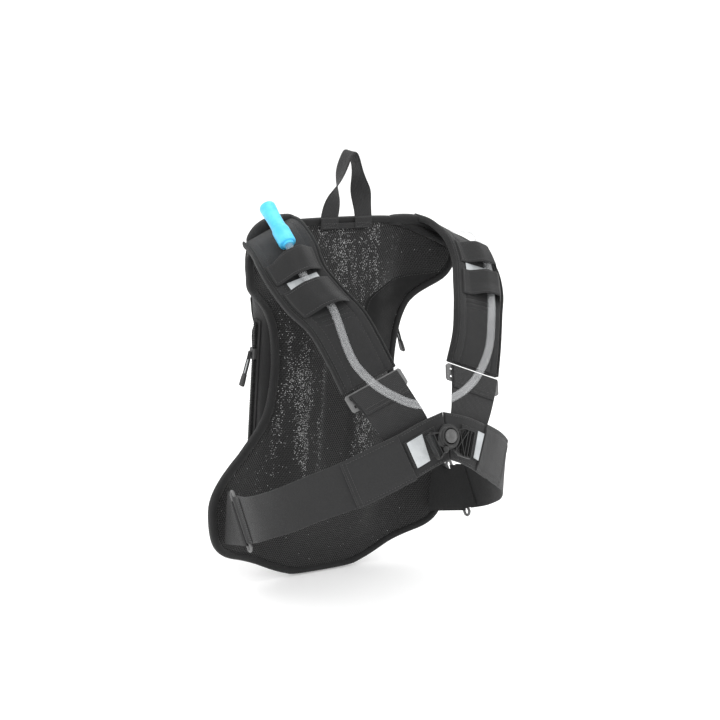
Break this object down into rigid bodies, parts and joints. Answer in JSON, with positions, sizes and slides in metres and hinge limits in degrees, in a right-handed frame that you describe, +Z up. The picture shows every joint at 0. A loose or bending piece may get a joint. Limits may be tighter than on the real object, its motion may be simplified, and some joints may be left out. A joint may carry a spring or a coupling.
{
  "type": "hydration pack",
  "caption": "Wearable hydration pack with mesh back panel, bladder bag, shoulder straps, hip belt with centre buckle, and a clear drink tube ending in a bite valve.",
  "frame": {"origin": "middle of the fold line where the haul loop meets the top edge of the back panel, the point the pack hangs from", "axes": "+X to the wearer's left, -Y to the wearer's front (the straps and belt side), +Z up along the back panel"},
  "size_m": [0.3404, 0.3181, 0.5227],
  "materials": {
    "mesh_fabric": "open air mesh",
    "black_fabric": "woven polyester",
    "black_webbing": "ribbed webbing",
    "elastic": "knitted elastic",
    "foam": "foam padding",
    "grey_reflective": "silver reflective tape",
    "buckle_plastic": "moulded, lightly textured",
    "button_plastic": "smooth dome",
    "slider_plastic": "moulded",
    "clear_tube": "clear flexible tube",
    "blue_valve": "soft moulded silicone",
    "bladder_film": "translucent film",
    "zip_metal": "black coated"
  },
  "bodies": {
    "pack": {"back_panel_foam": "foam", "back_panel_mesh": "mesh_fabric", "backing_pad_left": "black_fabric", "backing_pad_right": "black_fabric", "bag_shell": "black_fabric", "belt_panel_left": "black_fabric", "belt_panel_right": "black_fabric", "bite_valve": "blue_valve", "bladder_outlet": "blue_valve", "buckle_collar": "buckle_plastic", "buckle_socket": "buckle_plastic", "buckle_tongue": "buckle_plastic", "buckle_webbing_left": "black_webbing", "buckle_webbing_right": "black_webbing", "drink_tube": "clear_tube", "hip_belt_left": "elastic", "hip_belt_right": "elastic", "hose_port": "buckle_plastic", "inner_hose": "clear_tube", "loop_anchor": "black_webbing", "panel_binding": "black_fabric", "reflective_patch_left": "grey_reflective", "reflective_patch_right": "grey_reflective", "reflective_strip_left": "grey_reflective", "reflective_strip_right": "grey_reflective", "shoulder_pad_left": "black_fabric", "shoulder_pad_right": "black_fabric", "strap_band_lower_left": "elastic", "strap_band_lower_right": "elastic", "strap_band_upper_left": "elastic", "strap_band_upper_right": "elastic", "strap_slider_left": "slider_plastic", "strap_slider_right": "slider_plastic", "strap_webbing_left": "black_webbing", "strap_webbing_right": "black_webbing", "valve_sleeve": "blue_valve", "water_bladder": "bladder_film", "wing_ring_left": "slider_plastic", "wing_ring_right": "slider_plastic", "wing_tab_left": "black_fabric", "wing_tab_right": "black_fabric", "zip_coil_left": "black_webbing", "zip_coil_right": "black_webbing", "zip_tape_left": "black_webbing", "zip_tape_right": "black_webbing"},
    "bladder_cap": {"bladder_cap": "blue_valve"},
    "button": {"buckle_button": "button_plastic"},
    "haul_loop": {"haul_loop": "black_webbing"},
    "zip_pull_left": {"zip_pull_insert_left": "grey_reflective", "zip_pull_left": "black_webbing"},
    "zip_pull_right": {"zip_pull_insert_right": "grey_reflective", "zip_pull_right": "black_webbing"},
    "zip_slider_left": {"zip_slider_left": "zip_metal"},
    "zip_slider_right": {"zip_slider_right": "zip_metal"}
  },
  "joints": [
    {"name": "buckle_press", "type": "slide", "parent": "pack", "child": "button", "axis": [0, 0.9336, -0.3584], "range_m": [0, 0.0025], "stiffness_N_per_m": 400, "springref_m": -0.001},
    {"name": "haul_loop_fold", "type": "hinge", "parent": "pack", "child": "haul_loop", "pos_m": [0, 0, 0], "axis": [1, 0, 0], "range_deg": [-70, 75]},
    {"name": "bladder_cap_turn", "type": "hinge", "parent": "pack", "child": "bladder_cap", "pos_m": [0, 0.048, -0.076], "axis": [0, 1, 0], "range_deg": [0, 270]},
    {"name": "zip_left_slide", "type": "slide", "parent": "pack", "child": "zip_slider_left", "axis": [0, 0, -1], "range_m": [0, 0.15]},
    {"name": "zip_left_pull", "type": "hinge", "parent": "zip_slider_left", "child": "zip_pull_left", "pos_m": [0.1037, 0.031, -0.14], "axis": [0, -1, 0], "range_deg": [0, 150]},
    {"name": "zip_right_slide", "type": "slide", "parent": "pack", "child": "zip_slider_right", "axis": [0, 0, -1], "range_m": [0, 0.126]},
    {"name": "zip_right_pull", "type": "hinge", "parent": "zip_slider_right", "child": "zip_pull_right", "pos_m": [-0.1037, 0.031, -0.164], "axis": [0, 1, 0], "range_deg": [0, 150]}
  ]
}
